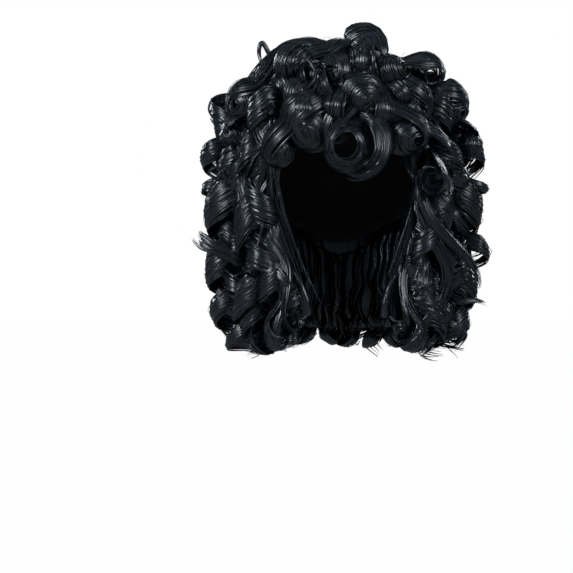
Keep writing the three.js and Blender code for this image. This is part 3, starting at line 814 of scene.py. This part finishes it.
def ringlet(row, hand, pitch, rng):
    """Lock that leaves the close hair outwards and winds down round an upright axis."""
    azimuth, reach, top, bottom, radius, lean, turns, width = row
    outward = aim(azimuth, 0)
    root_height = min(top + STEM_RISE, float(cap_point(ROOT_ROW, azimuth, 0.0)[2]))
    sideways = np.cross(outward, DOWN) * rng.uniform(-0.16, 0.16)
    axis = unit(outward * lean + (DOWN + sideways) * (top - bottom))
    entry = unit(outward - axis * np.dot(outward, axis))
    lead = hanging_lead(azimuth, root_height, rng)
    centre = outward * reach + np.array([0, 0, top])
    path, flats = coil_path(
        lead, centre, axis, entry, radius, turns, hand, (top - bottom) / turns,
        rng.uniform(-0.25, 0.25), rng.uniform(0.75, 1.0), rng)
    return lock_parts(path, flats, width, LOCK_THICKNESS, LOCK_TAPER, pitch, rng)


def close_hair(start, stop, face_edge, rng):
    """Backing of a section: a wall of close hair, ridged outside and ragged at its end."""
    rows = np.concatenate([
        np.linspace(CROWN_ROWS, OVERHANG_ROW, 6), OVERHANG_ROW + np.linspace(0.08, BACKING_END, 12)])
    shares = np.linspace(
        FACE_MARGIN * (face_edge == "start"), 1 - FACE_MARGIN * (face_edge == "stop"),
        int((stop - start) * BACKING_COLUMNS_PER_DEGREE))
    row_grid, share_grid = np.meshgrid(rows, shares, indexing="ij")
    ragged = rng.uniform(0.97, 1.0, len(shares))
    hanging = row_grid - OVERHANG_ROW
    row_grid = np.where(hanging > 0, OVERHANG_ROW + hanging * ragged, row_grid)
    strand = triplets(
        np.radians(start + (stop - start) * share_grid) * BACKING_ROUND_PER_RADIAN,
        row_grid * BACKING_DOWN_PER_ROW, BACKING_TONE)
    ridges = 0.85 + 0.06 * rng.uniform(-1, 1, (1, len(shares)))
    return wall_mesh(
        curtain_point(row_grid, share_grid, 0.0, start, stop, face_edge),
        curtain_point(row_grid, share_grid, ridges, start, stop, face_edge), strand, False)


def hanging_waves(start, stop, face_edge, rng):
    """Wavy locks that lie on the close hair and, round the back, line it too."""
    waves = int((stop - start) / WAVE_SPACING)
    places = [(i + 0.5) / waves for i in range(waves)]
    if face_edge:
        places = [share if face_edge == "start" else 1 - share for share in FACE_WAVES]
    places = [(place, OUTER_LAYER) for place in places]
    if INNER_FROM < start < INNER_TO:
        places += [((i + 0.5) / INNER_WAVES, INNER_LAYER) for i in range(INNER_WAVES)]
    parts = []
    for place, layer in places:
        outer = layer > 0
        t = np.linspace(0, 1, WAVE_STEPS)
        wander = drift(rng, 2, WAVE_STEPS, 6)
        swing = np.sin(2 * np.pi * (rng.uniform(2.2, 3.2) * t + rng.uniform(0, 1)))
        loose = FACE_CALM if face_edge else (1.0 if outer else INNER_SWING)
        share = np.clip(place + loose * (0.06 * swing + 0.05 * wander[0]) * t, 0.02, 0.98)
        raised = layer + 0.25 * loose * t * (swing + wander[1]) * outer
        top = WAVE_TOP_ROW if outer else OVERHANG_ROW + 0.02
        row = top + (rng.uniform(9.08, 9.22) - top) * t
        path = curtain_point(row, share, raised, start, stop, face_edge)
        pitch = FINE if outer else MEDIUM
        parts.extend(surface_lock(path, rng.uniform(18, 24), HANGING_THICKNESS, pitch, rng))
    return parts


def filling_ringlets(start, stop, count, rng):
    """Long ringlets of no set place, under the main ones."""
    parts = []
    for i in range(count):
        azimuth = start + (stop - start) * (i + 0.5) / count + rng.uniform(-3, 3)
        top = rng.uniform(-70, 40)
        bottom = max(LOWEST, top - rng.uniform(60, 130))
        reach = outer_reach(azimuth) + rng.uniform(-6, 4)
        turns = (top - bottom) / RINGLET_PITCH
        radius = rng.uniform(10, 14)
        lean = rng.uniform(-8, 4)
        width = rng.uniform(22, 28)
        row = (azimuth, reach, top, bottom, radius, lean, turns, width)
        parts.extend(ringlet(row, rng.choice([-1, 1]), PLAIN, rng))
    return parts


def short_ringlets(start, stop, face_edge, count, rng):
    """Short ringlets of about one turn, spread evenly over a section's height."""
    parts = []
    for i in range(count):
        azimuth = start + (stop - start) * (i + 0.5) / count + rng.uniform(-3, 3)
        if face_edge:
            low = start + FACE_CLEARANCE * (face_edge == "start")
            high = stop - FACE_CLEARANCE * (face_edge == "stop")
            azimuth = np.clip(azimuth, low, high)
        top = CURL_TOP - CURL_RANGE * ((i * GOLDEN_SHARE + 0.3) % 1)
        reach = outer_reach(azimuth) + rng.uniform(-5, 5)
        turns = rng.uniform(0.9, 1.4)
        radius = rng.uniform(13, 17)
        lean = rng.uniform(-6, 6)
        width = rng.uniform(24, 32)
        row = (azimuth, reach, top, top - CURL_PITCH * turns, radius, lean, turns, width)
        parts.extend(ringlet(row, rng.choice([-1, 1]), MEDIUM, rng))
    return parts


def curled_ends(start, stop, rng):
    """Small rolls that the hair ends in, along the lower edge."""
    parts = []
    ends = int((stop - start) / END_SPACING)
    for i in range(ends):
        azimuth = start + (stop - start) * (i + 0.5) / ends
        centre = hair_point(azimuth, rng.uniform(-146, -134), rng.uniform(10, 22))
        lead = hanging_lead(azimuth, END_ROOT_HEIGHT, rng)
        parts.extend(filling_curl(centre, lead, END_SIZE, PLAIN, rng))
    return parts


def hanging_hair(name, node, start, stop, face_edge, ringlets, rolls, free, fill, curls, pitch, seed):
    """Section that hangs from the cap: close hair, waves on it, then its ringlets."""
    rng = np.random.default_rng(seed)
    parts = [close_hair(start, stop, face_edge, rng)]
    parts.extend(hanging_waves(start, stop, face_edge, rng))
    parts.extend(filling_ringlets(start, stop, fill, rng))
    parts.extend(short_ringlets(start, stop, face_edge, curls, rng))
    parts.extend(curled_ends(start, stop, rng))
    for azimuth, height, lift, size in rolls:
        centre = hair_point(azimuth, height, lift)
        lead = hanging_lead(azimuth, min(height + ROLL_ROOT_RISE, ROLL_ROOT_TOP), rng)
        parts.extend(filling_curl(centre, lead, size, pitch, rng))
    for points, facing, width in free:
        parts.extend(free_lock(points, facing, width, FINE, rng))
    for row in ringlets:
        parts.extend(ringlet(row, 1 if (row[0] + 180) % 360 < 180 else -1, pitch, rng))
    strays = rng.uniform(size=(2, STRAYS))
    if face_edge:
        strays[0] = strays[0] * 0.5 + 0.5 * (face_edge == "start")
    parts.extend(stray_hairs(hair_point(
        start + (stop - start) * strays[0], STRAY_TOP - STRAY_RANGE * strays[1],
        rng.uniform(26, 36, STRAYS)), rng))
    hair_object(name, node, parts)


LEFT_TEMPLE_RINGLETS = [
    # azimuth, reach, top, bottom, radius, lean, turns, width
    (-62, 99, 40, 0, 13, 4, 1.0, 26),
    (-63, 100, -22, -80, 14, 0, 1.3, 28),
    (-64, 98, -96, -152, 14, -6, 1.3, 28),
    (-50, 86, -78, -146, 12, -4, 1.6, 24),
    (-42, 76, -104, -150, 9, -2, 1.6, 18),
]
LEFT_TEMPLE_ROLLS = [
    # azimuth, height, lift, size
    (-44, -124, 12, 13),
    (-54, -134, 16, 14),
    (-47, -90, 16, 12),
]
hanging_hair(
    "left_temple_hair", "left_temple_curls", start=285, stop=315, face_edge="stop",
    ringlets=LEFT_TEMPLE_RINGLETS, rolls=LEFT_TEMPLE_ROLLS, free=[], fill=2, curls=9, pitch=FINE, seed=21)

# Left side hair: the widest ringlets, over the ear.
# Long locks wound on large rods, with shorter ones above them.
LEFT_SIDE_RINGLETS = [
    # azimuth, reach, top, bottom, radius, lean, turns, width
    (-84, 124, 3, -10, 11, 0, 0.9, 12),
    (-82, 114, -6, -58, 18, -2, 1.2, 34),
    (-84, 114, -66, -108, 17, -2, 1.1, 30),
    (-86, 112, -112, -142, 17, -4, 1.2, 20),
    (-78, 98, -132, -158, 14, -4, 1.1, 18),
    (-87, 121, 40, 8, 13, 4, 1.0, 24),
    (-109, 114, 54, 14, 13, 4, 1.0, 26),
    (-109, 124, -6, -152, 16, -12, 3.2, 30),
]
LEFT_SIDE_ROLLS = [
    # azimuth, height, lift, size
    (-98, 72, 27, 15),
    (-114, 74, 27, 15),
]
LEFT_SIDE_ENDS = [
    # points along it, way it faces, width
    ([(-92, -32, 2), (-106, -34, 12), (-120, -34, 18), (-126, -32, 12), (-116, -30, 5), (-98, -28, 0)],
     (0, -0.5, 1), 4),
    ([(-90, -34, 6), (-104, -36, 16), (-112, -36, 16), (-108, -34, 8), (-96, -32, 2)], (0, -0.5, 1), 4),
    ([(-90, -26, -74), (-106, -30, -64), (-120, -30, -58), (-132, -26, -54), (-139, -22, -44)],
     (0, -1, 0.4), 13),
    ([(-92, -30, -68), (-108, -34, -58), (-122, -34, -54), (-132, -30, -46), (-135, -28, -40)],
     (0, -1, 0.2), 9),
    ([(-118, -16, -96), (-112, -20, -106), (-102, -22, -114), (-90, -22, -124)], (-0.3, -1, 0.3), 14),
]
hanging_hair(
    "left_side_hair", "left_side_curls", start=240, stop=285, face_edge=None,
    ringlets=LEFT_SIDE_RINGLETS, rolls=LEFT_SIDE_ROLLS, free=LEFT_SIDE_ENDS, fill=3, curls=9, pitch=FINE,
    seed=22)

# Right temple hair: ringlets beside the face, with a smooth inner edge.
# Made as the left temple's is, with two long locks that sweep back from the cheek.
RIGHT_TEMPLE_RINGLETS = [
    # azimuth, reach, top, bottom, radius, lean, turns, width
    (62, 101, 40, 0, 14, 4, 1.0, 26),
    (63, 98, -18, -60, 13, 0, 1.0, 26),
    (62, 92, -108, -150, 14, -4, 1.2, 28),
]
RIGHT_TEMPLE_ROLLS = [
    # azimuth, height, lift, size
    (46, -132, 12, 12),
    (52, -138, 16, 13),
    (62, -124, 22, 14),
    (54, -96, 22, 12),
    (50, 4, 24, 14),
]
RIGHT_TEMPLE_SWEEPS = [
    # points along it, way it faces, width
    ([(64, -66, 8), (68, -71, -12), (80, -69, -36), (100, -57, -55), (117, -43, -73), (124, -32, -91),
      (116, -26, -100)], (0.5, -1, 0.3), 14),
    ([(66, -66, -8), (69, -69, -28), (82, -65, -54), (94, -57, -80), (90, -54, -104), (80, -54, -112)],
     (0.5, -1, 0.2), 13),
]
hanging_hair(
    "right_temple_hair", "right_temple_curls", start=45, stop=75, face_edge="start",
    ringlets=RIGHT_TEMPLE_RINGLETS, rolls=RIGHT_TEMPLE_ROLLS, free=RIGHT_TEMPLE_SWEEPS, fill=2, curls=8,
    pitch=FINE, seed=23)

# Right side hair: the widest ringlets, over the ear.
# Made as the left side's is.
RIGHT_SIDE_RINGLETS = [
    # azimuth, reach, top, bottom, radius, lean, turns, width
    (86, 126, 3, -9, 11, 0, 0.9, 12),
    (84, 114, -8, -52, 18, -2, 1.1, 30),
    (85, 126, -54, -72, 12, 0, 0.9, 19),
    (84, 112, -84, -122, 17, -4, 1.2, 26),
    (78, 94, -118, -152, 15, -4, 1.2, 26),
    (88, 121, 42, 8, 12, 4, 1.0, 24),
    (109, 114, 54, 14, 13, 4, 1.0, 26),
    (109, 122, -6, -152, 16, -16, 3.2, 30),
]
RIGHT_SIDE_ROLLS = [
    # azimuth, height, lift, size
    (98, 72, 27, 15),
    (114, 74, 27, 15),
]
RIGHT_SIDE_ENDS = [
    # points along it, way it faces, width
    ([(92, -24, -98), (108, -28, -106), (122, -26, -106), (134, -22, -110)], (0, -1, 0.4), 7),
    ([(84, -30, -128), (98, -34, -126), (110, -32, -136), (104, -30, -146), (98, -28, -152)],
     (0, -1, 0.6), 8),
]
hanging_hair(
    "right_side_hair", "right_side_curls", start=75, stop=120, face_edge=None,
    ringlets=RIGHT_SIDE_RINGLETS, rolls=RIGHT_SIDE_ROLLS, free=RIGHT_SIDE_ENDS, fill=3, curls=9, pitch=FINE,
    seed=24)

# Back hair: three sections of ringlets in two even tiers, over the neck.
# Made as the sides are, and finished plainly.
BACK_TIERS = [
    # shift, reach, top, bottom, radius, lean, turns, width
    (3, 122, 60, 10, 15, 6, 1.2, 28),
    (-2, 128, -14, -152, 16, -8, 3.1, 30),
]
BACK_ROLLS = [
    # shift, height, lift, size
    (-9, 76, 28, 16),
    (9, 76, 28, 16),
]
BACK_SECTIONS = [
    # piece, node, start, stop, azimuths of the ringlets, short ringlets, seed
    ("right_back_hair", "right_back_curls", 120, 165, (131, 154), 9, 31),
    ("nape_hair", "nape_curls", 165, 195, (179,), 7, 32),
    ("left_back_hair", "left_back_curls", 195, 240, (204, 228), 9, 33),
]
for piece, node, start, stop, azimuths, curls, seed in BACK_SECTIONS:
    back_ringlets = [(azimuth + shift, *tier) for shift, *tier in BACK_TIERS for azimuth in azimuths]
    back_rolls = [((start + stop) / 2 + shift, *roll) for shift, *roll in BACK_ROLLS]
    hanging_hair(
        piece, node, start, stop, face_edge=None, ringlets=back_ringlets, rolls=back_rolls, free=[],
        fill=3, curls=curls, pitch=MEDIUM, seed=seed)

# Studio: a pale floor below the hair, soft lights before, above and behind it, and the camera.
# The camera stands level with the middle of the picture. Sizes here are in metres.
FLOOR_HEIGHT = -0.345
FLOOR_RADIUS = 9
FLOOR_GREY = (0.3, 0.3, 0.3, 1)
FLOOR_GLOW = 0.99
WHITE = (1, 1, 1, 1)
bpy.ops.mesh.primitive_circle_add(vertices=64, radius=FLOOR_RADIUS, fill_type="NGON", location=(0, 0, 0))
floor = bpy.context.object
floor.name = "floor"
bpy.ops.object.mode_set(mode="EDIT")
bpy.ops.mesh.select_all(action="SELECT")
bpy.ops.transform.translate(value=(0, 0, FLOOR_HEIGHT))
bpy.ops.object.mode_set(mode="OBJECT")
floor_material, floor_shader, floor_shade = new_material("floor_paper")
floor_shader.inputs["Base Color"].default_value = FLOOR_GREY
floor_shader.inputs["Roughness"].default_value = 0.8
floor_seen = floor_shade.node("ShaderNodeLightPath", "Is Camera Ray", {}, {})
floor_glow = floor_shade.node("ShaderNodeEmission", 0, {}, {"Color": WHITE, "Strength": 1.0})
floor_shade.node("ShaderNodeMixShader", 0, {}, {
    0: floor_seen * FLOOR_GLOW, 1: Shade(floor_shade.tree, floor_shader.outputs[0]), 2: floor_glow,
}).feed(floor_shade.tree.nodes["Material Output"], "Surface")
floor.data.materials.append(floor_material)

LIGHT_TINT = (0.86, 0.94, 1.0)
LIGHTS = [
    # name, place, size, power
    ("left_softbox", (-1.2, -1.3, 0.7), 0.6, 20),
    ("right_softbox", (1.2, -1.3, 0.7), 0.6, 11),
    ("top_softbox", (0.0, -0.3, 1.7), 0.8, 1),
    ("rear_left_softbox", (-1.2, 1.3, 0.7), 0.6, 12),
    ("rear_right_softbox", (1.2, 1.3, 0.7), 0.6, 12),
]
for name, place, size, power in LIGHTS:
    bpy.ops.object.light_add(type="AREA", location=place)
    light = bpy.context.object
    light.name = name
    light.data.size = size
    light.data.energy = power
    light.data.color = LIGHT_TINT
    light.rotation_euler = (-Vector(place)).to_track_quat("-Z", "Y").to_euler()

SKY_TINT = (0.6, 0.8, 1, 1)
SKY_STRENGTH = 0.14
world = bpy.data.worlds.new("studio")
bpy.context.scene.world = world
world.use_nodes = True
sky = Shade(world.node_tree)
sky_light = world.node_tree.nodes["Background"]
sky_light.inputs["Color"].default_value = SKY_TINT
sky_light.inputs["Strength"].default_value = SKY_STRENGTH
sky_seen = sky.node("ShaderNodeLightPath", "Is Camera Ray", {}, {})
backdrop = sky.node("ShaderNodeBackground", 0, {}, {"Color": WHITE, "Strength": 1.0})
sky.node("ShaderNodeMixShader", 0, {}, {
    0: sky_seen, 1: Shade(sky.tree, sky_light.outputs[0]), 2: backdrop,
}).feed(sky.tree.nodes["World Output"], "Surface")

CAMERA_PLACE = (-0.054, -1.4, -0.093)
CAMERA_LENS = 92.6
CAMERA_SENSOR = 36
bpy.ops.object.camera_add(location=CAMERA_PLACE, rotation=(np.pi / 2, 0, 0))
camera = bpy.context.object
camera.data.lens = CAMERA_LENS
camera.data.sensor_width = CAMERA_SENSOR
bpy.context.scene.camera = camera
bpy.context.scene.view_settings.view_transform = "Standard"
